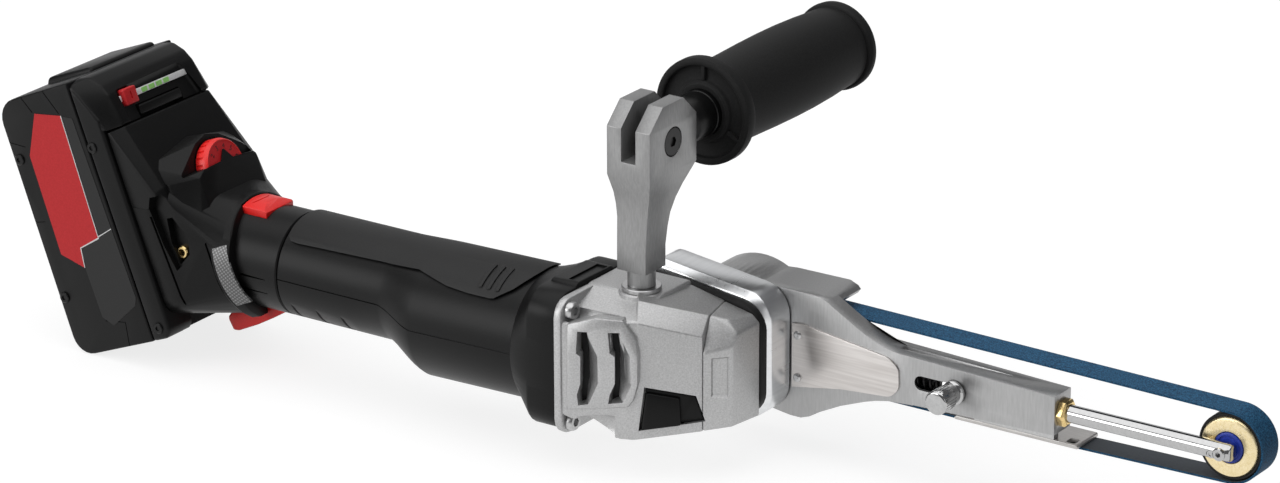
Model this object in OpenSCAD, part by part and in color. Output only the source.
// Cordless power file: a battery grinder body whose gear head drives a belt-file arm.
// The motor axis is X, the spindle axis is Y, and they cross at the origin. +Z is up.

/* [Gear head] */
// Side of the square rear flange
head_w = 64; // [58:1:72]
// Distance from the spindle axis back to the rear face
head_back = 42; // [40:1:46]
// Reach of the nose in front of the spindle axis
nose_reach = 30; // [29:1:36]
// Distance from the motor axis to the seat of the bearing flange
seat_y = 21; // [20:1:26]
// Corner radius of the head
head_corner_r = 12; // [8:1:15]
// Thickness of the seal ring
seal_t = 5; // [3:0.5:7]
// Thickness of the bearing flange
flange_t = 18; // [16:1:22]

/* [Barrel] */
// Radius of the motor section
motor_r = 30; // [29:0.5:33]
// Length of the head ring behind the gear head
ring_len = 25; // [22:1:30]
// Length of the motor section
motor_len = 62; // [58:1:70]
// Radius of the rear grip
neck_r = 24; // [23.5:0.5:27]
// Height of the rear grip's axis over the motor axis
neck_z = 4.5; // [2:0.5:5]
// Length of the rear grip behind the motor section
neck_len = 72; // [60:1:90]
// Thickness of the soft grip
sleeve_t = 1.4; // [1:0.1:2]

/* [Rear handle] */
// Length of the turning collar
collar_len = 34; // [32:1:40]
// Lean of the battery and its foot
lean = 21.5; // [18:0.5:24]
// Depth of the foot from the battery to its front
foot_d = 40; // [38:1:44]
// Half width of the foot at the battery
foot_half_w = 35; // [33:1:37]
// Radius of the ring round the collar
foot_ring_r = 30; // [29:0.5:32]
// Radius of the speed dial
dial_r = 13.5; // [12:0.5:14]
// Thickness of the speed dial
dial_t = 7; // [5:0.5:8]

/* [Battery] */
// Width of the battery
pack_w = 76; // [74:1:84]
// Length of the battery
pack_len = 125; // [120:1:132]
// Depth of the battery
pack_d = 60; // [58:1:64]
// Corner radius of the battery
pack_corner_r = 10; // [6:1:12]
// Radius of one cell
cell_r = 9; // [8:0.5:9.2]
// Room at each end of a cell, filled by the holder
cell_end_room = 2.5; // [2:0.5:5]

/* [Belt arm] */
// Width of the abrasive belt
belt_w = 13.5; // [10:0.5:16]
// Thickness of the abrasive belt
belt_t = 1; // [0.8:0.1:1.4]
// Radius of the drive wheel
wheel_r = 17; // [15:0.5:19]
// Distance from the spindle axis to the contact roller
arm_reach = 242.5; // [230:1:260]
// Radius of the contact roller with its tyre
roller_r = 15; // [13:0.5:17]
// Outer radius of the belt cover
cover_r = 31; // [30:0.5:34]
// Thickness of the arm's back wall
wall_t = 4; // [3:0.5:5]
// Width of the beam
beam_w = 13.6; // [13:0.2:16]
// Distance from the spindle axis to the beam's end
beam_end_x = 164.5; // [160:1:172]
// Radius of the sliding rod
rod_r = 3.9; // [3.5:0.1:4.4]
// Travel of the belt release
release_travel = 15; // [10:1:16]

/* [Side handle] */
// Height of the clamp bolt over the motor axis
pivot_z = 99.5; // [94:0.5:106]
// Offset of the clamp bolt from the post, towards the handle
pivot_y = 8; // [6:1:12]
// Distance from the spindle axis back to the post
post_back = 18; // [15:1:20]
// Radius of the hand guard
guard_r = 24.5; // [23:0.5:28]
// Radius of the handle's grip
hand_r = 20.5; // [17:0.5:21]
// Length of the handle's grip
hand_len = 99; // [90:1:125]

/* [Hidden] */
$fn = 64;

// Overrun of every cut, gaps between moving pieces, and fits
over = 1;
gap = 0.3;
run_fit = 0.06;
slide_gap = 0.4;
hull_fn = 32;
black = "#1d1d1f";
soft_black = "#2b2b2e";
cast_grey = "#8d8f93";
steel = "#b9bcc0";
chrome = "#d9dce0";
brass = "#c8a75a";
red = "#c01f26";

// Gear head places
half_head = head_w / 2;
rear_flange_t = 4;
seat_w = 62;
seat_edge = 2;
seat_step = 3;
nose_w = 20;
nose_h = 50;
nose_edge_r = 6;
cheek_x = -6;
cheek_y = 20;
cheek_top = 25;
cheek_low = 31;
cheek_edge_r = 4;
cheek_w = 12;
flange_rear_share = 1.16;
flange_front_share = 0.92;
near_slope = atan2(half_head - cheek_y, head_back - rear_flange_t + cheek_x);
seal_y = seat_y;
flange_y = seat_y + seal_t;
arm_y = flange_y + flange_t;

// Bevel gears: tooth counts and the cone that both share, with its tip at the origin
pinion_teeth = 11;
crown_teeth = 33;
cone_r_out = 22;
cone_r_in = 17;
pinion_cone = atan2(pinion_teeth, crown_teeth);
crown_cone = 90 - pinion_cone;
tooth_rise = 3.4;
tooth_root_share = 0.29;
tooth_tip_share = 0.11;
tooth_foot_share = 1.4;
crown_back_t = 7;
pinion_hub_r = 5.2;
pinion_hub_x = 29;

// Shafts and bearings
shaft_r = 4;
spindle_r = 6;
spindle_nose_r = 5;
front_bearing_x = 40;
bearing_w = 7;
front_bearing_r = 11;
rear_bearing_r = 9.5;
flange_bearing_r = 14;
flange_bearing_w = 9;
flange_bearing_inset = 4;
tail_bearing_r = 8;
tail_bearing_w = 6;
tail_r = 4;
gear_bore_r = 25;
gear_bore_y = 1;
pinion_bore_r = 8.5;
bearing_race_share = 0.42;

// Motor places
ring_back = head_back + ring_len;
motor_back = ring_back + motor_len;
stator_r = 26;
stator_bore_r = 12.6;
stator_len = 40;
stator_in = 11;
stator_front = ring_back + stator_in;
rotor_r = 12;
fan_r = 24;
fan_w = 9;
fan_in = 9;
fan_front = head_back + fan_in;
fan_blades = 9;
fan_blade_t = 1.6;
fan_hub_r = 8;
fan_disc_t = 1.6;
motor_bore_r = 26.1;
rear_bearing_in = 8;
rear_bearing_x = motor_back - rear_bearing_in;
shaft_rear = rear_bearing_x + bearing_w + over;
stator_slot_share = 0.8;

// Rear grip and turning collar
shoulder_len = 22;
neck_end = motor_back + neck_len;
seam = 0.35;
spigot_r = 17;
spigot_len = 25;
catch_r = 19.4;
catch_t = 3;
catch_bore_r = 20;
wire_bore_r = 11;
collar_end = neck_end + seam + collar_len;

// Foot: a leaning frame with its origin on the face that meets the battery
foot_back = 69;
foot_x = -(neck_end + foot_back);
foot_z = 18;
foot_back_t = 6;
foot_low = -43;
foot_high = 46;
foot_edge_r = 8;
ring_face_t = 9;
ring_front_r = 27.5;
ring_local_z = -(foot_z + (foot_d - ring_face_t / 2) * sin(lean) - neck_z) / cos(lean);
dial_local_x = 23.7;
dial_local_z = 14.2;
dial_pin_r = 2;
dial_pin_len = 3;
dial_knurls = 24;
dial_knurl_r = 0.7;
bump_half_w = 15.5;
bump_front = 35;
bump_rise = 15;
bump_top = dial_local_z + bump_rise;
bump_edge_r = 3;
bump_d = 8;
dial_notch_z = dial_local_z + over;
dial_notch_d = 16;
dial_notch_w = 30;
foot_cavity_wall = 7;
foot_cavity_front = 20;
foot_cavity_half_w = 19;
foot_cavity_top = foot_high - 3 * foot_cavity_wall;
wire_way_len = 22;
screen_back = 8;
screen_in = 1.5;
screen_t = 1.4;
screen_rise = 0.3;
screen_low = -44;
screen_high = -18;
insert_r = 2.6;
insert_x = 14.8;
insert_z = -15.9;
insert_deep = 5;
insert_len = 4;
insert_pocket_r = 4.5;

// Battery shoe on the foot
shoe_neck_half = 21;
shoe_half = 25;
shoe_neck_t = 4;
shoe_t = 8;
shoe_low = -38;
shoe_high = 32;
pack_clear = 0.35;
pack_low = -52;
pack_high = pack_low + pack_len;
pack_split = 12;
pack_wall = 3;
ledge_low = 46.5;
ledge_d = 6;
ledge_half_w = 32;
ledge_cut_share = 0.6;
pad_rise = 2;
pad_back_share = 0.85;
pad_front_share = 0.25;
pad_near = 16;
pad_far = 34;
gauge_z = 58;
gauge_len = 48;
gauge_h = 3;
gauge_t = 1;
gauge_press = 1.2;
gauge_button_w = 9;
gauge_button_h = 8;
gauge_button_y = -19;
gauge_button_t = 2.4;
catch_w = 30;
catch_h = 5;
catch_deep = 5;
catch_z = 50;
blade_t = 1;
blade_pitch = 6;
blade_len = 16;
blade_d = 4;
panel_t = 0.6;
panel_in = 0.5;
pack_screw_r = 2.6;
pack_screw_t = 1.2;
cell_len = pack_w - 2 * (pack_wall + cell_end_room);
cell_pitch = 2 * cell_r + over;
cell_rows = 5;
cell_row_x = -23;
cell_first_z = -32;

// Lock button, paddle
lock_len = 14;
lock_w = 20;
lock_rise = 2.6;
lock_front = 15.5;
lock_lift = 23.3;
lock_base_z = neck_z + lock_lift;
lock_press = 1.5;
paddle_front = 4;
paddle_len = 34;
paddle_half_w = 7;
paddle_pin_r = 1.3;
paddle_pin_len = 2;
paddle_pin_in = 8;
paddle_pin_x = neck_end + seam + paddle_pin_in;
paddle_pin_z = -15.6;
paddle_knuckle_r = 2.6;
paddle_drop = 19;
paddle_rear_h = 6;
paddle_back_cut = 3;
paddle_top_drop = 9;
paddle_belly_share = 0.34;
paddle_room = 4;

// Arm places
belt_in = 11.4;
belt_y = arm_y + belt_in;
wheel_lead = 0.5;
wheel_y = belt_y - wheel_lead;
cover_w = 25.5;
cover_t = 2.6;
beam_mid_z = -1;
beam_root_x = 80;
beam_root_half = 11.5;
beam_end_half = 8.8;
hook_top = 29;
hook_front = 46;
hook_tip_x = 53;
hook_tip_z = 26.2;
slope_foot_x = 69;
slope_foot_z = 15.4;
under_front_x = 37;
under_front_z = -30.4;
under_foot_x = 57;
under_foot_z = -20.5;
mouth_low = -24;
rod_y_mid = arm_y + beam_w / 2;
rod_bore_r = 6.1;
slider_len = 14;
knob_x = 115;
knob_r = 4.6;
knob_rim_r = 5.4;
knob_rim_t = 3;
knob_len = 16;
knob_stud_r = 2.9;
slot_half_h = 3.2;
slot_room = 0.8;
slot_back = knob_x - release_travel - knob_stud_r - slot_room;
slot_front = knob_x + knob_stud_r + slot_room;
bore_back = 80;
spring_turns = 8;
spring_wire_r = 0.6;
spring_r = 4.6;
spring_rings = 8;
spring_sides = 6;
gland_t = 4;
gland_flats = 11;
rod_tail = 4;
rod_nose = 4.5;
rod_back = knob_x - rod_tail;
rod_front = arm_reach + rod_nose;
roller_gap = 0.5;
roller_over = 0.4;
roller_y = rod_y_mid + rod_r + roller_gap;
roller_w = belt_w + roller_over;
tyre_t = 1.3;
seal_r = 6.8;
seal_w = 6;
axle_r = 2.4;
axle_head_r = 3;
axle_head_t = 1.2;
plate_back_x = 110;
plate_front_x = 171.5;
plate_w = 18;
plate_t = 1.8;
plate_z = -15.7;
plate_lead = 3.2;
plate_y = roller_y - plate_lead;
plate_bend_r = 1.6;
bracket_back_x = 120;
bracket_front_x = 160;
bracket_w = 4;
side_plate_t = 1;
rivet_r = 2;
rivet_t = 0.8;
rivet_x = 35;
rivet_shares = [0.5, -0.8];
side_plate_back = 32;
side_plate_front = 87;
side_plate_shares = [[0, 0.93], [0.11, 0.9], [0.89, 0.5], [1, 0.25], [1, -0.35], [0.89, -0.7], [0.45, -0.85], [0, -1.1]];
wall_share = 0.94;

// Side handle places
post_w = 17;
post_x = 15;
post_hub_r = 7.5;
post_low = 42;
head_x = 22.4;
head_y = 36;
head_slot = 7.4;
head_top = 17.8;
head_side_top = 8.3;
head_side_low = -13.7;
head_cut = 10;
head_base = -30;
slot_low = 6.9;
bolt_r = 4;
bolt_head_r = 6.5;
bolt_head_t = 4;
bolt_counter = 4;
bolt_socket_flats = 5;
nut_flats = 12;
nut_t = 5;
tongue_t = 7;
tongue_r = 6.4;
stem_start = 22;
stem_r = 10.5;
guard_y = 38.5;
guard_t = 7;
guard_dish = 2.5;
guard_web_r = 14;
hand_waist_r = 19.5;
hand_swell_share = 0.2;
hand_even_share = 0.6;
hand_end_r = 18.8;
cap_t = 7;
cap_r = 20.6;
post_stud_r = 5;
washer_r = 11;
washer_t = 2;
thread_r = 4;
thread_len = 14;

// Spindle lock
front_slope = atan2(seat_y - nose_w + cheek_y, nose_reach - cheek_x);
lock_x = 14;
lock_z = -16;
lock_btn_w = 24;
lock_btn_h = 17;
lock_btn_cut = 3;
lock_btn_t = 3.5;
lock_proud = 1.2;
lock_pin_r = 2.5;
lock_travel = 3;
lock_pin_end = 12;
lock_bore_end = 18;

// Placing helpers: bars along X and Y, and flat outlines raised along X and Y
module bar_x(from, to, r) { translate([from, 0, 0]) rotate([0, 90, 0]) cylinder(h = to - from, r = r); }
module bar_y(from, to, r) { translate([0, from, 0]) rotate([-90, 0, 0]) cylinder(h = to - from, r = r); }
module slab_x(from, to) { translate([from, 0, 0]) rotate([90, 0, 90]) linear_extrude(to - from) children(); }
module slab_y(from, to) { translate([0, to, 0]) rotate([90, 0, 0]) linear_extrude(to - from) children(); }
module turn_x() { rotate([0, 90, 0]) rotate_extrude() children(); }
module turn_y() { rotate([-90, 0, 0]) rotate_extrude() children(); }
module in_foot() { translate([foot_x, 0, foot_z]) rotate([0, -lean, 0]) children(); }
module at_neck() { translate([0, 0, neck_z]) children(); }

// Rectangle with round corners, from bars and discs
module round_rect(w, h, r, sides = $fn) {
    square([w - 2 * r, h], center = true);
    square([w, h - 2 * r], center = true);
    for (x = [-1, 1], y = [-1, 1])
        translate([x * (w / 2 - r), y * (h / 2 - r)]) circle(r = r, $fn = sides);
}
module box(from, to) { translate(from) cube(to - from); }
module ring_y(from, to, r_out, r_in) {
    difference() {
        bar_y(from, to, r_out);
        bar_y(from - over, to + over, r_in);
    }
}
module ring_x(from, to, r_out, r_in) {
    difference() {
        bar_x(from, to, r_out);
        bar_x(from - over, to + over, r_in);
    }
}
module hex(flats) { circle(d = flats / cos(30), $fn = 6); }

// Outside of the barrel: the motor section and the rear grip, each turned about its own axis
module barrel_form(grow) {
    bar_x(-motor_back, -ring_back, motor_r + grow);
    hull() {
        bar_x(-motor_back, -motor_back + over, motor_r + grow, $fn = 2 * hull_fn);
        at_neck() bar_x(-motor_back - shoulder_len, -motor_back - shoulder_len + over, neck_r + grow, $fn = 2 * hull_fn);
    }
    at_neck() bar_x(-neck_end, -motor_back - shoulder_len + over, neck_r + grow);
}
module motor_housing() {
    color(black) difference() {
        union() {
            barrel_form(0);
            at_neck() bar_x(-neck_end - spigot_len, -neck_end, spigot_r);
            at_neck() bar_x(-neck_end - spigot_len, -neck_end - spigot_len + catch_t, catch_r);
        }
        bar_x(-rear_bearing_x, -ring_back + over, motor_bore_r);
        bar_x(-rear_bearing_x - bearing_w - run_fit, -rear_bearing_x + over, rear_bearing_r + run_fit);
        bar_x(-shaft_rear - over, -rear_bearing_x, shaft_r + over);
        at_neck() bar_x(-neck_end - spigot_len - over, -motor_back - shoulder_len, wire_bore_r);
    }
}
sleeve_back_in = 8;
sleeve_front_in = 2;
sleeve_low_share = 0.62;
sleeve_dip_share = 0.45;
module grip_sleeve() {
    back = neck_end - sleeve_back_in;
    front = ring_back + sleeve_front_in;
    low = neck_z + neck_r * sleeve_low_share;
    dip = motor_r * sleeve_dip_share;
    wave = shoulder_len;
    color(soft_black) intersection() {
        difference() {
            barrel_form(sleeve_t);
            barrel_form(0);
        }
        slab_y(-2 * motor_r, 2 * motor_r) polygon([[-back, 2 * motor_r], [-back, low + sleeve_t],
            [-back + wave / 4, low], [-motor_back, low], [-motor_back + wave, dip],
            [-front - wave / 2, dip], [-front, low], [-front, 2 * motor_r]]);
    }
}
module head_ring() {
    block_w = 30;
    block_len = 14;
    block_rise = 1.5;
    block_z = half_head + block_rise;
    color(black) difference() {
        union() {
            hull() {
                bar_x(-ring_back, -ring_back + over, motor_r + over, $fn = hull_fn);
                slab_x(-head_back - over - gap, -head_back - gap) round_rect(head_w, head_w, head_corner_r, hull_fn);
            }
            box([-head_back - block_len - gap, -block_w / 2, 0], [-head_back - gap, block_w / 2, block_z]);
        }
        bar_x(-ring_back - over, -head_back + over, motor_bore_r);
    }
}

// Outline of the bearing flange and its seat: taller at the back than at the front
module seat_outline(grow) {
    r = head_corner_r;
    back_r = head_corner_r / 2;
    half = seat_w / 2;
    hull() for (z = [-1, 1]) {
        translate([-half + back_r, z * (half * flange_rear_share - back_r)]) circle(r = back_r + grow, $fn = hull_fn);
        translate([half - r, z * (half * flange_front_share - r)]) circle(r = r + grow, $fn = hull_fn);
    }
}

// Gear housing: one wedge over the rear flange, the flange seat, the cheek and the nose
module gear_form() {
    hull() {
        slab_x(-head_back, -head_back + rear_flange_t) round_rect(head_w, head_w, head_corner_r, hull_fn);
        slab_y(seat_y - seat_edge, seat_y) seat_outline(-seat_step);
        translate([0, seat_y - nose_w / 2, 0]) slab_x(nose_reach - seat_edge, nose_reach)
            round_rect(nose_w, nose_h, nose_edge_r, hull_fn);
        translate([cheek_x - cheek_w / 2, 0, (cheek_top - cheek_low) / 2]) slab_y(-cheek_y, 0)
            round_rect(cheek_w, cheek_top + cheek_low, cheek_edge_r, hull_fn);
    }
}
// Move children onto the two leaning near faces, x along the face and z up, y into the head
module on_near_face() {
    translate([-head_back + rear_flange_t, -half_head, 0]) rotate([0, 0, near_slope]) children();
}
module on_front_face() { translate([cheek_x, -cheek_y, 0]) rotate([0, 0, front_slope]) children(); }
module lock_outline(grow) {
    half_w = lock_btn_w / 2 + grow;
    half_h = lock_btn_h / 2 + grow;
    translate([lock_x, lock_z]) polygon([[-half_w, -half_h], [half_w - lock_btn_cut, -half_h + lock_btn_cut],
        [half_w - lock_btn_cut, half_h - 2 * lock_btn_cut], [half_w - 2 * lock_btn_cut, half_h], [-half_w + lock_btn_cut, half_h]]);
}
thread_boss_r = 9;
vent_from = 2;
vent_to = 34;
vent_top = 23;
vent_low = -21;
vent_cut = 9;
vent_rise = 2.4;
vent_deep = 14;
vent_slot_w = 9;
vent_rib = 6;
module vent_outline() {
    polygon([[vent_from, vent_low], [vent_to - vent_cut, vent_low], [vent_to, vent_low + vent_cut],
        [vent_to, vent_top - 2 * vent_cut], [vent_to - vent_cut, vent_top], [vent_from, vent_top - vent_rise]]);
}
module vent_slot(from) {
    half = (vent_top - vent_low) / 2 - vent_rise * 2;
    mid = (vent_top + vent_low) / 2;
    polygon([[from, mid - half], [from + vent_slot_w, mid - half + vent_cut / 2],
        [from + vent_slot_w, mid + half - vent_cut / 2], [from, mid + half]]);
}
gear_screw_r = 3;
gear_screw_pocket_r = 4.2;
gear_screw_in = 6;
gear_screw_places = [for (y = [-1, 1], z = [-1, 1]) [y * (half_head - gear_screw_in), z * (half_head - gear_screw_in)]];
gear_screw_x = -head_back + rear_flange_t;
gear_screw_t = 3;
module gear_housing() {
    color(cast_grey) difference() {
        union() {
            gear_form();
            on_near_face() slab_y(-vent_rise, vent_rise) vent_outline();
            translate([-post_back, 0, 0]) cylinder(h = half_head, r = washer_r + over);
            translate([-post_back, 0, -half_head]) cylinder(h = half_head, r = thread_boss_r);
        }
        on_near_face() for (k = [0, 1])
            slab_y(-vent_rise - over, vent_deep - k * vent_rib)
                vent_slot(vent_from + vent_rib / 2 + k * (vent_slot_w + vent_rib));
        box([-seat_w / 2 - over, seat_y, -head_w], [2 * nose_reach, head_w, head_w]);
        for (p = gear_screw_places)
            translate([0, p[0], p[1]]) bar_x(gear_screw_x, nose_reach, gear_screw_pocket_r);
        bar_y(gear_bore_y, seat_y + over, gear_bore_r);
        bar_y(gear_bore_y - tail_bearing_w, gear_bore_y + over, tail_bearing_r + run_fit);
        bar_x(-head_back - over, -front_bearing_x + bearing_w, front_bearing_r + run_fit);
        bar_x(-front_bearing_x, 0, pinion_bore_r);
        on_front_face() {
            slab_y(-half_head, lock_btn_t + lock_travel + gap) lock_outline(slide_gap);
            translate([lock_x, 0, lock_z]) bar_y(0, lock_bore_end, lock_pin_r + run_fit);
        }
        translate([-post_back, 0, half_head - thread_len / 2 - gap]) cylinder(h = head_w, r = post_stud_r);
        translate([-post_back, 0, half_head]) cylinder(h = head_w, r = washer_r + gap);
        translate([-post_back, 0, -half_head - over]) cylinder(h = thread_len, r = thread_r);
        translate([-post_back, 0, -half_head - head_w]) cylinder(h = head_w, r = thread_boss_r);
    }
}
module gear_screws() {
    color(steel) for (p = gear_screw_places)
        translate([0, p[0], p[1]]) difference() {
            bar_x(gear_screw_x, gear_screw_x + gear_screw_t, gear_screw_r);
            slab_x(gear_screw_x + gear_screw_t / 2, gear_screw_x + gear_screw_t + over) hex(gear_screw_r);
        }
}
module seal_ring() {
    lip = 1.2;
    color(black) difference() {
        slab_y(seal_y, seal_y + seal_t) seat_outline(lip / 2);
        bar_y(seal_y - over, seal_y + seal_t + over, gear_bore_r);
    }
}
flange_edge = 1.5;
flange_screw_r = 2.6;
flange_screw_head_r = 4.2;
flange_screw_at = 16;
flange_screw_deep = 9;
flange_screw_places = [for (x = [-1, 1], z = [-1, 1]) flange_screw_at * [x, z]];
module bearing_flange() {
    bearing_back = arm_y - flange_bearing_inset - flange_bearing_w;
    color(steel) difference() {
        union() {
            slab_y(flange_y, arm_y - flange_edge) seat_outline(0);
            slab_y(flange_y, arm_y) seat_outline(-flange_edge);
        }
        bar_y(flange_y - over, bearing_back + flange_bearing_w, flange_bearing_r + run_fit);
        bar_y(flange_y, arm_y + over, spindle_r + over);
        for (p = flange_screw_places)
            translate([p[0], 0, p[1]]) bar_y(arm_y - flange_screw_deep, arm_y + over, flange_screw_r);
    }
}
module flange_screws() {
    head_t = 3;
    color(steel) for (p = flange_screw_places)
        translate([p[0], 0, p[1]]) {
            bar_y(arm_y - flange_screw_deep + over, arm_y + wall_t, flange_screw_r);
            difference() {
                bar_y(arm_y + wall_t, arm_y + wall_t + head_t, flange_screw_head_r);
                slab_y(arm_y + wall_t + head_t / 2, arm_y + wall_t + head_t + over) hex(flange_screw_head_r);
            }
        }
}

// Arm: back wall, rim and hook in one casting with the beam
function beam_top(x) = beam_mid_z + beam_half(x);
function beam_low(x) = beam_mid_z - beam_half(x);
function beam_half(x) = beam_root_half
    + (beam_end_half - beam_root_half) * (x - beam_root_x) / (beam_end_x - beam_root_x);
module arm_outline() {
    circle(r = cover_r);
    polygon([[0, cover_r * wall_share], [hook_front, hook_top], [slope_foot_x - shoulder_len / 2, hook_top - 2 * cover_t],
        [slope_foot_x, slope_foot_z], [beam_root_x + head_corner_r, beam_top(beam_root_x + head_corner_r)],
        [beam_root_x + head_corner_r, beam_low(beam_root_x + head_corner_r)], [under_foot_x, under_foot_z],
        [under_front_x, under_front_z], [0, -cover_r * wall_share]]);
}
module hook_outline() {
    polygon([[0, hook_top + over], [hook_front, hook_top], [hook_tip_x, hook_tip_z],
        [hook_tip_x - cover_t, hook_tip_z - cover_t / 2], [hook_front, hook_top - cover_t], [0, hook_top - cover_t]]);
}
module arm_housing() {
    color(cast_grey) difference() {
        union() {
            slab_y(arm_y, arm_y + wall_t) arm_outline();
            slab_y(arm_y, arm_y + cover_w) {
                difference() {
                    circle(r = cover_r);
                    circle(r = cover_r - cover_t);
                    polygon([[0, hook_top - cover_t], [2 * cover_r, hook_top - cover_t], [2 * cover_r, mouth_low],
                        [cover_r / 2, mouth_low], [0, 0]]);
                }
                hook_outline();
            }
            slab_y(arm_y, arm_y + beam_w) polygon([[beam_root_x - shoulder_len, beam_top(beam_root_x)],
                [beam_root_x, beam_top(beam_root_x)], [beam_end_x, beam_top(beam_end_x)],
                [beam_end_x, beam_low(beam_end_x)], [beam_root_x, beam_low(beam_root_x)],
                [beam_root_x - shoulder_len, beam_low(beam_root_x)]]);
        }
        bar_y(arm_y - over, arm_y + wall_t + over, spindle_r + over);
        for (p = flange_screw_places)
            translate([p[0], 0, p[1]]) bar_y(arm_y - over, arm_y + wall_t + over, flange_screw_r);
        translate([0, rod_y_mid, beam_mid_z]) bar_x(bore_back, beam_end_x + over, rod_bore_r);
        slab_y(arm_y - over, rod_y_mid) translate([(slot_back + slot_front) / 2, beam_mid_z])
            round_rect(slot_front - slot_back, 2 * slot_half_h, slot_half_h - gap);
        // Groove along the beam's top
        groove_w = 4;
        groove_deep = 1.2;
        slab_x(beam_root_x + shoulder_len, beam_end_x - shoulder_len)
            translate([rod_y_mid - groove_w / 2, beam_top(beam_end_x) - groove_deep]) square([groove_w, 2 * groove_deep + over]);
    }
}
module side_plate() {
    color(steel) slab_y(arm_y - side_plate_t, arm_y) polygon([for (s = side_plate_shares)
        [side_plate_back + s[0] * (side_plate_front - side_plate_back), s[1] * slope_foot_z]]);
}
module side_plate_rivets() {
    color(chrome) for (share = rivet_shares)
        translate([rivet_x, 0, share * slope_foot_z]) bar_y(arm_y - side_plate_t - rivet_t, arm_y - side_plate_t, rivet_r);
}
module gland_nut() {
    color(brass) translate([0, rod_y_mid, beam_mid_z]) difference() {
        slab_x(beam_end_x, beam_end_x + gland_t) hex(gland_flats);
        bar_x(beam_end_x - over, beam_end_x + gland_t + over, rod_r + run_fit);
    }
}
module support_plate() {
    color(steel) box([plate_back_x, plate_y, plate_z - plate_t], [plate_front_x, plate_y + plate_w, plate_z]);
}
module support_bracket() {
    color(steel) slab_y(plate_y, plate_y + bracket_w) polygon([[bracket_back_x, plate_z], [bracket_front_x, plate_z],
        [bracket_front_x, beam_low(bracket_front_x)], [bracket_back_x, beam_low(bracket_back_x)]]);
}

// Side handle post: square shank, taper and forked head
module handle_post() {
    color(cast_grey) translate([-post_back, 0, 0]) difference() {
        union() {
            translate([0, 0, half_head + washer_t]) cylinder(h = post_low - half_head, r = post_hub_r);
            translate([0, 0, half_head - thread_len / 2]) cylinder(h = thread_len, r = post_stud_r - run_fit);
            box([-post_x / 2, -post_w / 2, post_low], [post_x / 2, post_w / 2, pivot_z + head_base]);
            hull() {
                box([-post_x / 2, -post_w / 2, pivot_z + head_base - over], [post_x / 2, post_w / 2, pivot_z + head_base]);
                box([-head_x / 2, pivot_y - head_y / 2, pivot_z + head_side_low],
                    [head_x / 2, pivot_y + head_y / 2, pivot_z + head_side_low + over]);
            }
            slab_x(-head_x / 2, head_x / 2) translate([pivot_y, pivot_z]) polygon([
                [head_y / 2, head_side_low], [head_y / 2, head_side_top], [head_y / 2 - head_cut, head_top],
                [-head_y / 2 + head_cut, head_top], [-head_y / 2, head_side_top], [-head_y / 2, head_side_low]]);
        }
        box([-head_slot / 2, pivot_y - head_y, pivot_z - slot_low], [head_slot / 2, pivot_y + head_y, pivot_z + head_y]);
        translate([0, pivot_y, pivot_z]) {
            bar_x(-head_x, head_x, bolt_r + run_fit);
            bar_x(head_x / 2 - bolt_counter, head_x, bolt_head_r + gap);
        }
    }
}
module post_washer() {
    color(steel) translate([-post_back, 0, half_head]) difference() {
        cylinder(h = washer_t, r = washer_r);
        translate([0, 0, -over]) cylinder(h = washer_t + 2 * over, r = post_stud_r);
    }
}
module clamp_bolt() {
    color(black) translate([-post_back, pivot_y, pivot_z]) difference() {
        union() {
            bar_x(-head_x / 2 - nut_t, head_x / 2 - bolt_counter, bolt_r);
            bar_x(head_x / 2 - bolt_counter, head_x / 2 - bolt_counter + bolt_head_t, bolt_head_r);
        }
        slab_x(head_x / 2 - bolt_counter + bolt_head_t / 2, head_x) hex(bolt_socket_flats);
    }
}
module clamp_nut() {
    color(black) translate([-post_back - head_x / 2, pivot_y, pivot_z]) difference() {
        slab_x(-nut_t, 0) hex(nut_flats);
        bar_x(-nut_t - over, over, bolt_r);
    }
}

// Motor
module stator() {
    slots = 6;
    slot_w = 3;
    color(steel) difference() {
        bar_x(-stator_front - stator_len, -stator_front, stator_r);
        bar_x(-stator_front - stator_len - over, -stator_front + over, stator_bore_r);
        for (k = [0 : slots - 1]) rotate([k * 360 / slots, 0, 0])
            box([-stator_front - stator_len - over, 0, -slot_w / 2], [-stator_front + over, stator_r * stator_slot_share, slot_w / 2]);
    }
}
module bearing(from, width, r_out, r_in) {
    race = (r_out - r_in) * bearing_race_share / 2 + r_in;
    groove = width / 8;
    difference() {
        ring_x(from, from + width, r_out, r_in);
        for (x = [from - over, from + width - groove])
            ring_x(x, x + groove + over, r_out - (race - r_in), race);
    }
}
module motor_bearings() {
    color(chrome) {
        bearing(-front_bearing_x, bearing_w, front_bearing_r, shaft_r + run_fit);
        bearing(-rear_bearing_x - bearing_w, bearing_w, rear_bearing_r, shaft_r + run_fit);
    }
}
module spindle_bearings() {
    color(chrome) rotate([0, 0, 90]) {
        bearing(arm_y - flange_bearing_inset - flange_bearing_w, flange_bearing_w, flange_bearing_r, spindle_r + run_fit);
        bearing(gear_bore_y - tail_bearing_w, tail_bearing_w, tail_bearing_r, tail_r + run_fit);
    }
}
module rotor() {
    color(steel) {
        bar_x(-shaft_rear + over, -cone_r_in * cos(pinion_cone), shaft_r);
        bar_x(-stator_front - stator_len, -stator_front, rotor_r);
    }
}
module fan() {
    color(black) difference() {
        union() {
            bar_x(-fan_front - fan_w, -fan_front, fan_hub_r);
            bar_x(-fan_front - fan_w, -fan_front - fan_w + fan_disc_t, fan_r);
            for (k = [0 : fan_blades - 1]) rotate([k * 360 / fan_blades, 0, 0])
                box([-fan_front - fan_w, fan_hub_r / 2, -fan_blade_t / 2], [-fan_front, fan_r - over, fan_blade_t / 2]);
        }
        bar_x(-fan_front - fan_w - over, -fan_front + over, shaft_r);
    }
}

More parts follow.
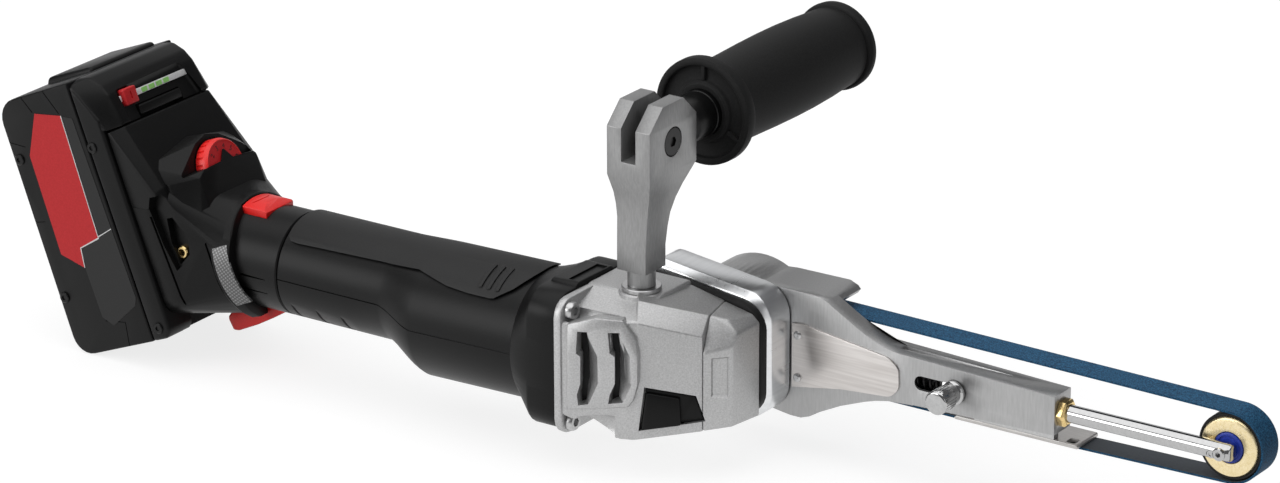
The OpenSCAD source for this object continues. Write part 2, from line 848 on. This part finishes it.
// Bevel teeth: each is a wedge whose faces meet at the tip of the shared cone
function on_cone(r, angle, turn) = r * [sin(angle) * cos(turn), sin(angle) * sin(turn), cos(angle)];
module bevel_teeth(teeth, cone) {
    root = cone - tooth_rise * tooth_foot_share;
    tip = cone + tooth_rise;
    root_turn = 360 / teeth * tooth_root_share;
    tip_turn = 360 / teeth * tooth_tip_share;
    for (k = [0 : teeth - 1]) {
        mid = 360 / teeth * k;
        corners = [for (r = [cone_r_in, cone_r_out]) for (c = [[root, -root_turn], [root, root_turn],
            [tip, tip_turn], [tip, -tip_turn]]) on_cone(r, c[0], mid + c[1])];
        polyhedron(corners, [[0, 2, 1], [0, 3, 2], [4, 5, 6], [4, 6, 7], [0, 1, 5], [0, 5, 4],
            [1, 2, 6], [1, 6, 5], [2, 3, 7], [2, 7, 6], [3, 0, 4], [3, 4, 7]]);
    }
}
tooth_sink_share = 1.2;
module bevel_body(cone, back) {
    root = cone - tooth_rise * tooth_sink_share;
    rotate_extrude() polygon([[0, cone_r_in * cos(root)], [cone_r_in * sin(root), cone_r_in * cos(root)],
        [cone_r_out * sin(root), cone_r_out * cos(root)], [cone_r_out * sin(root), back], [0, back]]);
}
module drive_pinion() {
    color(steel) difference() {
        rotate([0, -90, 0]) {
            rotate(90) bevel_teeth(pinion_teeth, pinion_cone);
            bevel_body(pinion_cone, cone_r_out * cos(pinion_cone) + over);
            translate([0, 0, cone_r_out * cos(pinion_cone)])
                cylinder(h = pinion_hub_x - cone_r_out * cos(pinion_cone), r = pinion_hub_r);
        }
        bar_x(-pinion_hub_x - over, over, shaft_r);
        bar_x(-cone_r_in * cos(pinion_cone) + gap, over, 2 * pinion_hub_r);
    }
}
module crown_gear() {
    color(steel) difference() {
        rotate([-90, 0, 0]) {
            bevel_teeth(crown_teeth, crown_cone);
            bevel_body(crown_cone, cone_r_out * cos(crown_cone) + crown_back_t);
        }
        bar_y(-over, arm_y, spindle_r);
    }
}
module spindle() {
    color(steel) {
        bar_y(gear_bore_y - tail_bearing_w + gap, gear_bore_y + over, tail_r);
        bar_y(gear_bore_y + gap, wheel_y, spindle_r);
        bar_y(wheel_y, wheel_y + belt_w - over, spindle_nose_r);
    }
}
module drive_wheel() {
    rim = 4;
    hub_r = 8.5;
    dish = 4;
    color(soft_black) difference() {
        turn_y() polygon([[0, wheel_y], [wheel_r - gap, wheel_y], [wheel_r, wheel_y + belt_w / 3],
            [wheel_r, wheel_y + belt_w * 2 / 3], [wheel_r - gap, wheel_y + belt_w], [0, wheel_y + belt_w]]);
        ring_y(wheel_y + belt_w - dish, wheel_y + belt_w + over, wheel_r - rim, hub_r);
        bar_y(wheel_y - over, wheel_y + belt_w + over, spindle_nose_r);
    }
}
module wheel_screw() {
    head_t = 2.4;
    color(chrome) difference() {
        bar_y(wheel_y + belt_w, wheel_y + belt_w + head_t, spindle_nose_r + 2 * over);
        slab_y(wheel_y + belt_w + head_t / 2, wheel_y + belt_w + head_t + over) hex(spindle_nose_r);
    }
}
module spindle_lock_button() {
    color(black) on_front_face() {
        slab_y(-lock_proud, lock_btn_t) lock_outline(0);
        translate([lock_x, 0, lock_z]) bar_y(0, lock_pin_end, lock_pin_r);
    }
}

// Belt tensioner: a spring pushes the slider, the rod and the roller forward
function spring_len() = knob_x - slider_len / 2 - bore_back - 2 * gap;
function spring_point(k) = let (turn = 360 * k / spring_rings, n = spring_turns * spring_rings)
    [bore_back + gap + spring_wire_r + (spring_len() - 2 * spring_wire_r) * k / n,
     rod_y_mid + spring_r * cos(turn), beam_mid_z + spring_r * sin(turn)];
function spring_ring(k) = let (p = spring_point(k), turn = 360 * k / spring_rings)
    [for (s = [0 : spring_sides - 1]) let (a = 360 * s / spring_sides)
        p + spring_wire_r * [sin(a), cos(a) * cos(turn), cos(a) * sin(turn)]];
spring_gap = (spring_len() - 2 * spring_wire_r) / spring_turns - 2 * spring_wire_r;
echo(spring_gap = spring_gap);
module tension_spring() {
    n = spring_turns * spring_rings;
    s = spring_sides;
    points = [for (k = [0 : n]) for (p = spring_ring(k)) p];
    sides = [for (k = [0 : n - 1]) for (j = [0 : s - 1]) for (face = [
        [k * s + j, k * s + (j + 1) % s, (k + 1) * s + j],
        [k * s + (j + 1) % s, (k + 1) * s + (j + 1) % s, (k + 1) * s + j]]) face];
    first = [for (j = [1 : s - 2]) [0, j + 1, j]];
    last = [for (j = [1 : s - 2]) [n * s, n * s + j, n * s + j + 1]];
    color(steel) polyhedron(points, concat(sides, first, last));
}
module tension_slider() {
    color(steel) translate([0, rod_y_mid, beam_mid_z]) difference() {
        bar_x(knob_x - slider_len / 2, knob_x + slider_len / 2, rod_bore_r - run_fit);
        bar_x(rod_back, knob_x + slider_len, rod_r);
        translate([knob_x, 0, 0]) bar_y(-2 * rod_bore_r, -rod_r + gap, knob_stud_r);
    }
}
module tension_rod() {
    color(chrome) translate([0, rod_y_mid, beam_mid_z]) difference() {
        union() {
            bar_x(rod_back, rod_front - over, rod_r);
            translate([rod_front - over, 0, 0]) rotate([0, 90, 0]) cylinder(h = over, r1 = rod_r, r2 = rod_r - over);
        }
        translate([arm_reach, 0, 0]) bar_y(-2 * rod_r, 2 * rod_r, axle_r);
        translate([knob_x, 0, 0]) bar_y(-2 * rod_r, -rod_r + gap, knob_stud_r);
    }
}
module tension_knob() {
    color(chrome) translate([knob_x, arm_y, beam_mid_z]) {
        bar_y(-gap - over, beam_w / 2 - rod_r, knob_stud_r);
        turn_y() polygon([[0, -gap - knob_len], [knob_rim_r - over, -gap - knob_len],
            [knob_rim_r, -gap - knob_len + over], [knob_rim_r, -gap - knob_len + knob_rim_t],
            [knob_r - over, -gap - knob_len + 2 * knob_rim_t], [knob_r - over, -gap - knob_rim_t],
            [knob_rim_r, -gap - knob_rim_t / 2], [knob_rim_r, -gap], [0, -gap]]);
    }
}
module roller_axle() {
    color(chrome) translate([arm_reach, 0, beam_mid_z]) difference() {
        union() {
            bar_y(rod_y_mid - rod_r, roller_y + roller_w - over, axle_r);
            bar_y(rod_y_mid - rod_r - axle_head_t, rod_y_mid - rod_r, axle_head_r);
        }
        slab_y(rod_y_mid - rod_r - 2 * axle_head_t, rod_y_mid - rod_r - axle_head_t / 2) hex(axle_r);
    }
}
module contact_roller() {
    edge = 1.2;
    hub = roller_r - tyre_t;
    color(brass) translate([arm_reach, roller_y, beam_mid_z]) difference() {
        turn_y() polygon([[0, 0], [hub - edge, 0], [hub, edge], [hub, roller_w], [0, roller_w]]);
        bar_y(-over, seal_w, seal_r);
        bar_y(-over, roller_w + over, axle_r + slide_gap);
    }
}
module roller_tyre() {
    color(soft_black) translate([arm_reach, roller_y, beam_mid_z])
        ring_y(gap + over, roller_w - gap, roller_r, roller_r - tyre_t);
}
module roller_bearing() {
    proud = 0.2;
    color("#1f43b0") translate([arm_reach, roller_y, beam_mid_z]) ring_y(-proud, seal_w, seal_r, axle_r + run_fit);
}
// Belt: round the wheel, the roller and the ends of the support plate
module belt_line(grow) {
    hull() {
        circle(r = wheel_r + gap + grow);
        translate([arm_reach, beam_mid_z]) circle(r = roller_r + gap + grow);
        for (x = [plate_back_x + plate_bend_r, plate_front_x - plate_bend_r])
            translate([x, plate_z - plate_t + plate_bend_r - gap]) circle(r = plate_bend_r + grow);
    }
}
module abrasive_belt() {
    color("#2f5f92") slab_y(belt_y, belt_y + belt_w) difference() {
        belt_line(belt_t);
        belt_line(0);
    }
}

// Rear handle: collar and foot in one moulding that turns on the barrel's spigot
module ring_cone(grow) {
    translate([foot_d - ring_face_t, 0, ring_local_z]) rotate([0, 90, 0])
        cylinder(h = ring_face_t, r1 = foot_ring_r + grow, r2 = ring_front_r + grow);
}
module foot_form() {
    mid = (foot_low + foot_high) / 2;
    in_foot() {
        hull() {
            slab_x(0, foot_back_t) translate([0, mid]) round_rect(2 * foot_half_w, foot_high - foot_low, foot_edge_r, hull_fn);
            ring_cone(0, $fn = 2 * hull_fn);
        }
        hull() {
            slab_x(0, foot_back_t) translate([0, mid + foot_high / 4])
                round_rect(2 * foot_half_w - foot_edge_r, foot_high * 3 / 2 - foot_edge_r, foot_edge_r, hull_fn);
            slab_x(bump_front - bump_d, bump_front)
                round_rect(2 * bump_half_w, 2 * bump_top, bump_edge_r, hull_fn);
        }
    }
}
module shoe_form(grow) {
    slab_y(-shoe_neck_half - grow, shoe_neck_half + grow)
        polygon([[-shoe_t, shoe_low - grow], [over, shoe_low - grow], [over, shoe_high + grow], [-shoe_t, shoe_high + grow]]);
    slab_y(-shoe_half - grow, shoe_half + grow)
        polygon([[-shoe_t - grow, shoe_low - grow], [-shoe_neck_t + grow, shoe_low - grow],
            [-shoe_neck_t + grow, shoe_high + grow], [-shoe_t - grow, shoe_high + grow]]);
}
// Woven screens: bent strips let into the ring's two sides
module screen_form(grow) {
    intersection() {
        difference() {
            ring_cone(screen_rise + grow);
            ring_cone(-screen_t);
        }
        box([foot_d - screen_back - grow, -2 * foot_ring_r, screen_low - grow],
            [foot_d - screen_in + grow, 2 * foot_ring_r, screen_high + grow]);
    }
}
slit_places = [2, -6];
module rear_housing() {
    slit_h = 1.2;
    slit_len = 13;
    slit_deep = 2;
    color(black) difference() {
        union() {
            foot_form();
            at_neck() bar_x(-collar_end, -neck_end - seam, neck_r);
            in_foot() shoe_form(0);
        }
        at_neck() {
            bar_x(-neck_end - spigot_len + catch_t - gap, -neck_end + over, spigot_r + run_fit);
            bar_x(-neck_end - spigot_len - 2 * gap, -neck_end - spigot_len + catch_t + gap, catch_bore_r);
        }
        in_foot() {
            box([foot_cavity_wall, -foot_cavity_half_w, foot_low + foot_cavity_wall],
                [foot_cavity_front, foot_cavity_half_w, foot_cavity_top]);
            screen_form(gap);
            translate([0, 0, dial_local_z]) {
                bar_x(dial_local_x - gap, dial_local_x + dial_t + gap, dial_r + dial_knurl_r + gap);
                bar_x(dial_local_x - dial_pin_len, dial_local_x, dial_pin_r + run_fit);
            }
            box([dial_local_x - gap, -dial_notch_w / 2, dial_notch_z],
                [foot_d + over, dial_notch_w / 2, dial_notch_z + 2 * dial_notch_d]);
            for (side = [0, 180]) rotate(side) translate([side > 0 ? -insert_x : insert_x, 0, insert_z]) {
                bar_y(-2 * foot_half_w, -foot_half_w + insert_deep, insert_pocket_r);
                bar_y(-foot_half_w, -foot_half_w + insert_deep + insert_len, insert_r);
            }
        }
        at_neck() bar_x(-neck_end - spigot_len - wire_way_len, -neck_end - spigot_len, wire_bore_r);
        for (z = slit_places) translate([-neck_end - slit_len / 2 - collar_len / 2, -neck_r - over, z])
            cube([slit_len, slit_deep + over, slit_h]);
        translate([-neck_end - lock_front - lock_len / 2, 0, lock_base_z - lock_press - gap])
            linear_extrude(2 * lock_len) square([lock_len + 2 * slide_gap, lock_w + 2 * slide_gap], center = true);
        translate([-paddle_pin_x, 0, paddle_pin_z]) {
            slab_y(-paddle_half_w - slide_gap, paddle_half_w + slide_gap) polygon([[paddle_front, paddle_room],
                [-paddle_len - over, -paddle_room], [-paddle_len - over, -3 * paddle_drop], [paddle_front, -3 * paddle_drop]]);
            bar_y(-paddle_half_w - paddle_pin_len - gap, paddle_half_w + paddle_pin_len + gap, paddle_pin_r + run_fit);
        }
    }
}
module dust_screens() { color("#77797c") in_foot() screen_form(0); }
module rear_screws() {
    color(brass) in_foot() for (side = [0, 180]) rotate(side) translate([side > 0 ? -insert_x : insert_x, 0, insert_z])
        bar_y(-foot_half_w + insert_deep - screen_t, -foot_half_w + insert_deep + insert_len, insert_r);
}
module control_board() {
    board_t = 1.6;
    board_x = 12;
    part_h = 7;
    part_w = 12;
    part_pitch = 12.6;
    parts = 3;
    color("#1f5a35") in_foot() {
        box([board_x, -foot_cavity_half_w, -foot_back_t * 3], [board_x + board_t, foot_cavity_half_w, foot_cavity_top]);
        for (k = [0 : parts - 1]) translate([board_x, (k - (parts - 1) / 2) * part_pitch, -part_w / 2])
            box([0, -part_w / 2, 0], [part_h, part_w / 2, part_w]);
    }
}
module switch_module() {
    switch_h = 13;
    switch_w = 18;
    color("#3a3d42") in_foot()
        box([foot_cavity_wall, -switch_w / 2, foot_low + foot_cavity_wall],
            [foot_cavity_front - over, switch_w / 2, foot_low + foot_cavity_wall + switch_h]);
}
module terminal_block() {
    blades = 4;
    color(brass) in_foot() for (k = [0 : blades - 1])
        translate([-shoe_t, (k - (blades - 1) / 2) * blade_pitch, 0])
            box([-blade_d, -blade_t / 2, 0], [0, blade_t / 2, blade_len]);
}
module speed_dial() {
    color(red) in_foot() translate([0, 0, dial_local_z]) {
        difference() {
            bar_x(dial_local_x, dial_local_x + dial_t, dial_r);
            for (k = [0 : dial_knurls - 1]) rotate([k * 360 / dial_knurls, 0, 0]) translate([0, dial_r, 0])
                bar_x(dial_local_x - over, dial_local_x + dial_t + over, dial_knurl_r);
        }
        bar_x(dial_local_x - dial_pin_len + gap, dial_local_x + over, dial_pin_r);
    }
}
module lock_button() {
    color(red) intersection() {
        at_neck() bar_x(-neck_end - lock_front - lock_len, -neck_end - lock_front, neck_r + lock_rise);
        translate([-neck_end - lock_front - lock_len, -lock_w / 2, lock_base_z]) cube([lock_len, lock_w, neck_r]);
    }
}
module paddle() {
    color(red) translate([-paddle_pin_x, 0, paddle_pin_z]) {
        slab_y(-paddle_half_w, paddle_half_w) {
            circle(r = paddle_knuckle_r);
            polygon([[0, paddle_knuckle_r], [-paddle_len + paddle_back_cut, -paddle_top_drop],
                [-paddle_len, -paddle_drop + paddle_rear_h], [-paddle_len + paddle_back_cut, -paddle_drop],
                [-paddle_len * paddle_belly_share, -paddle_drop * paddle_belly_share], [0, -paddle_knuckle_r]]);
        }
        bar_y(-paddle_half_w - paddle_pin_len, paddle_half_w + paddle_pin_len, paddle_pin_r);
    }
}

// Battery, in the foot's leaning frame
module pack_form(from, to) {
    slab_y(-pack_w / 2, pack_w / 2) intersection() {
        translate([-pack_d / 2 - pack_clear, (pack_low + pack_high) / 2]) round_rect(pack_d, pack_len, pack_corner_r);
        translate([from, pack_low]) square([to - from, pack_len]);
    }
}
module cell_places() {
    for (row = [0, 1], k = [0 : cell_rows - 1])
        translate([cell_row_x - row * cell_pitch, 0, cell_first_z + k * cell_pitch]) children();
}
// Red side panel, as shares of the battery's depth and length
panel_shares = [[-0.615, 0.915], [-0.365, 0.885], [-0.40, 0.42], [-0.61, 0.40], [-0.635, 0.32], [-0.825, 0.39], [-0.805, 0.77]];
module panel_outline(grow) {
    offset(delta = grow) polygon([for (s = panel_shares) [s[0] * pack_d, pack_low + s[1] * pack_len]]);
}
pack_screw_shares = [[-0.92, 0.765], [-0.155, 0.745], [-0.94, 0.23], [-0.105, 0.045]];
module pack_screw_spots() {
    for (s = pack_screw_shares) translate([s[0] * pack_d, 0, pack_low + s[1] * pack_len]) children();
}
module cell_room(grow) {
    polygon([[-pack_d + pack_wall, pack_low + pack_corner_r], [-pack_split + grow, pack_low + pack_corner_r],
        [-pack_split + grow, pack_high - pack_corner_r], [-pack_d + pack_wall, pack_high - pack_corner_r]]);
}
module battery_case() {
    color(black) in_foot() difference() {
        union() {
            pack_form(-pack_d - pack_clear, -pack_split);
            slab_y(-pad_near, pad_far) polygon([[-pack_d * pad_back_share, pack_high - over],
                [-pack_d * pad_front_share, pack_high - over], [-pack_d * pad_front_share, pack_high + pad_rise / 2],
                [-pack_d / 2, pack_high + pad_rise]]);
        }
        slab_y(-pack_w / 2 + pack_wall, pack_w / 2 - pack_wall) cell_room(over);
        for (side = [-1, 1]) slab_y(side * pack_w / 2 - panel_in, side * pack_w / 2 + panel_in) panel_outline(gap);
    }
}
module battery_lid() {
    color(black) in_foot() difference() {
        union() {
            pack_form(-pack_split, 0);
            slab_y(-ledge_half_w, ledge_half_w) polygon([[-pack_split, ledge_low], [ledge_d, ledge_low + over],
                [ledge_d, gauge_z + gauge_button_h * ledge_cut_share], [-ledge_d, pack_high - over], [-pack_split, pack_high - over]]);
        }
        hull_gap = pack_clear;
        for (h = [[shoe_neck_half, -shoe_t - hull_gap, over], [shoe_half, -shoe_t - hull_gap, -shoe_neck_t + hull_gap]])
            box([h[1], -h[0] - hull_gap, pack_low - over], [h[2], h[0] + hull_gap, shoe_high + hull_gap]);
        box([-pack_split - over, -2 * blade_pitch - blade_t, pack_low - over], [-shoe_t, 2 * blade_pitch + blade_t, blade_len + over]);
        // Seats of the gauge, its button and the release bar
        box([ledge_d - gauge_t, -gauge_len / 2, gauge_z - gauge_h / 2], [ledge_d + over, gauge_len / 2, gauge_z + gauge_h / 2]);
        translate([0, gauge_button_y, gauge_z]) box([ledge_d - gauge_button_t - gauge_press, -gauge_button_w / 2 - slide_gap, -gauge_button_h / 2 - slide_gap],
            [ledge_d + over, gauge_button_w / 2 + slide_gap, gauge_button_h / 2 + slide_gap]);
        translate([0, 0, catch_z]) box([ledge_d - 2 * catch_deep, -catch_w / 2 - slide_gap, -catch_h / 2 - slide_gap],
            [ledge_d + over, catch_w / 2 + slide_gap, catch_h / 2 + slide_gap]);
    }
}
module battery_panels() {
    color(red) in_foot() for (side = [-1, 1])
        slab_y(side * pack_w / 2 - (side > 0 ? panel_in : panel_t - panel_in), side * pack_w / 2 + (side > 0 ? panel_t - panel_in : panel_in))
            panel_outline(0);
}
module battery_screws() {
    color(black) in_foot() pack_screw_spots() for (side = [-1, 1])
        translate([0, side * (pack_w / 2 + pack_screw_t / 2), 0]) difference() {
            bar_y(-pack_screw_t / 2, pack_screw_t / 2, pack_screw_r);
            slab_y(side > 0 ? 0 : -pack_screw_t, side > 0 ? pack_screw_t : 0) hex(pack_screw_r);
        }
}
module battery_cells() {
    color("#4c8f4a") in_foot() cell_places() bar_y(-cell_len / 2, cell_len / 2, cell_r);
}
module cell_holders() {
    color(soft_black) in_foot() for (side = [0, 1]) mirror([0, side, 0])
        slab_y(cell_len / 2, pack_w / 2 - pack_wall) cell_room(0);
}
module charge_gauge() {
    near = gauge_button_y + gauge_button_w / 2 + slide_gap;
    far = gauge_button_y - gauge_button_w / 2 - slide_gap;
    color("#d8dadb") in_foot() translate([0, 0, gauge_z]) {
        box([ledge_d - gauge_t, near, -gauge_h / 2], [ledge_d + gauge_t / 2, gauge_len / 2, gauge_h / 2]);
    }
}
module gauge_button() {
    color(red) in_foot() translate([0, gauge_button_y, gauge_z])
        box([ledge_d - gauge_button_t + gap, -gauge_button_w / 2, -gauge_button_h / 2],
            [ledge_d + gauge_press + gap, gauge_button_w / 2, gauge_button_h / 2]);
}
module battery_release() {
    color(soft_black) in_foot() translate([0, 0, catch_z])
        box([ledge_d - catch_deep, -catch_w / 2, -catch_h / 2], [ledge_d + 2 * over, catch_w / 2, catch_h / 2]);
}

// Side handle
module at_pivot() { translate([-post_back, pivot_y, pivot_z]) children(); }
module handle_stem() {
    color(steel) at_pivot() difference() {
        union() {
            slab_x(-tongue_t / 2, tongue_t / 2) {
                circle(r = tongue_r);
                translate([0, -tongue_r]) square([stem_start + over, 2 * tongue_r]);
            }
            bar_y(stem_start, guard_y, stem_r);
            bar_y(guard_y, guard_y + guard_t + hand_len / 2, bolt_r);
        }
        bar_x(-head_x, head_x, bolt_r + run_fit);
    }
}
module handle_grip() {
    end = guard_y + guard_t + hand_len;
    start = guard_y + guard_t;
    color(soft_black) at_pivot() difference() {
        turn_y() polygon([[0, guard_y], [guard_web_r, guard_y], [guard_web_r, guard_y + guard_dish],
            [guard_r - guard_dish, guard_y + guard_dish], [guard_r - guard_dish, guard_y],
            [guard_r, guard_y + over], [guard_r, start - over], [guard_r - over, start],
            [hand_waist_r, start + guard_dish], [hand_r, start + hand_len * hand_swell_share],
            [hand_r - over, start + hand_len * hand_even_share], [hand_end_r, end], [0, end]]);
        bar_y(guard_y - over, guard_y + guard_t + hand_len / 2, bolt_r);
    }
}
module handle_end_cap() {
    end = guard_y + guard_t + hand_len;
    color(black) at_pivot() turn_y() polygon([[0, end], [hand_end_r, end], [cap_r, end + over],
        [cap_r, end + cap_t - 2 * over], [cap_r - 2 * over, end + cap_t], [0, end + cap_t]]);
}

motor_housing();
grip_sleeve();
head_ring();
gear_housing();
gear_screws();
seal_ring();
bearing_flange();
flange_screws();
arm_housing();
side_plate();
side_plate_rivets();
gland_nut();
support_plate();
support_bracket();
handle_post();
post_washer();
clamp_bolt();
clamp_nut();
stator();
motor_bearings();
spindle_bearings();
rotor();
fan();
drive_pinion();
spindle();
crown_gear();
drive_wheel();
wheel_screw();
spindle_lock_button();
tension_spring();
tension_slider();
tension_rod();
tension_knob();
roller_axle();
contact_roller();
roller_tyre();
roller_bearing();
abrasive_belt();
rear_housing();
dust_screens();
rear_screws();
control_board();
switch_module();
terminal_block();
speed_dial();
lock_button();
paddle();
battery_case();
battery_lid();
battery_panels();
battery_screws();
battery_cells();
cell_holders();
charge_gauge();
gauge_button();
battery_release();
handle_stem();
handle_grip();
handle_end_cap();
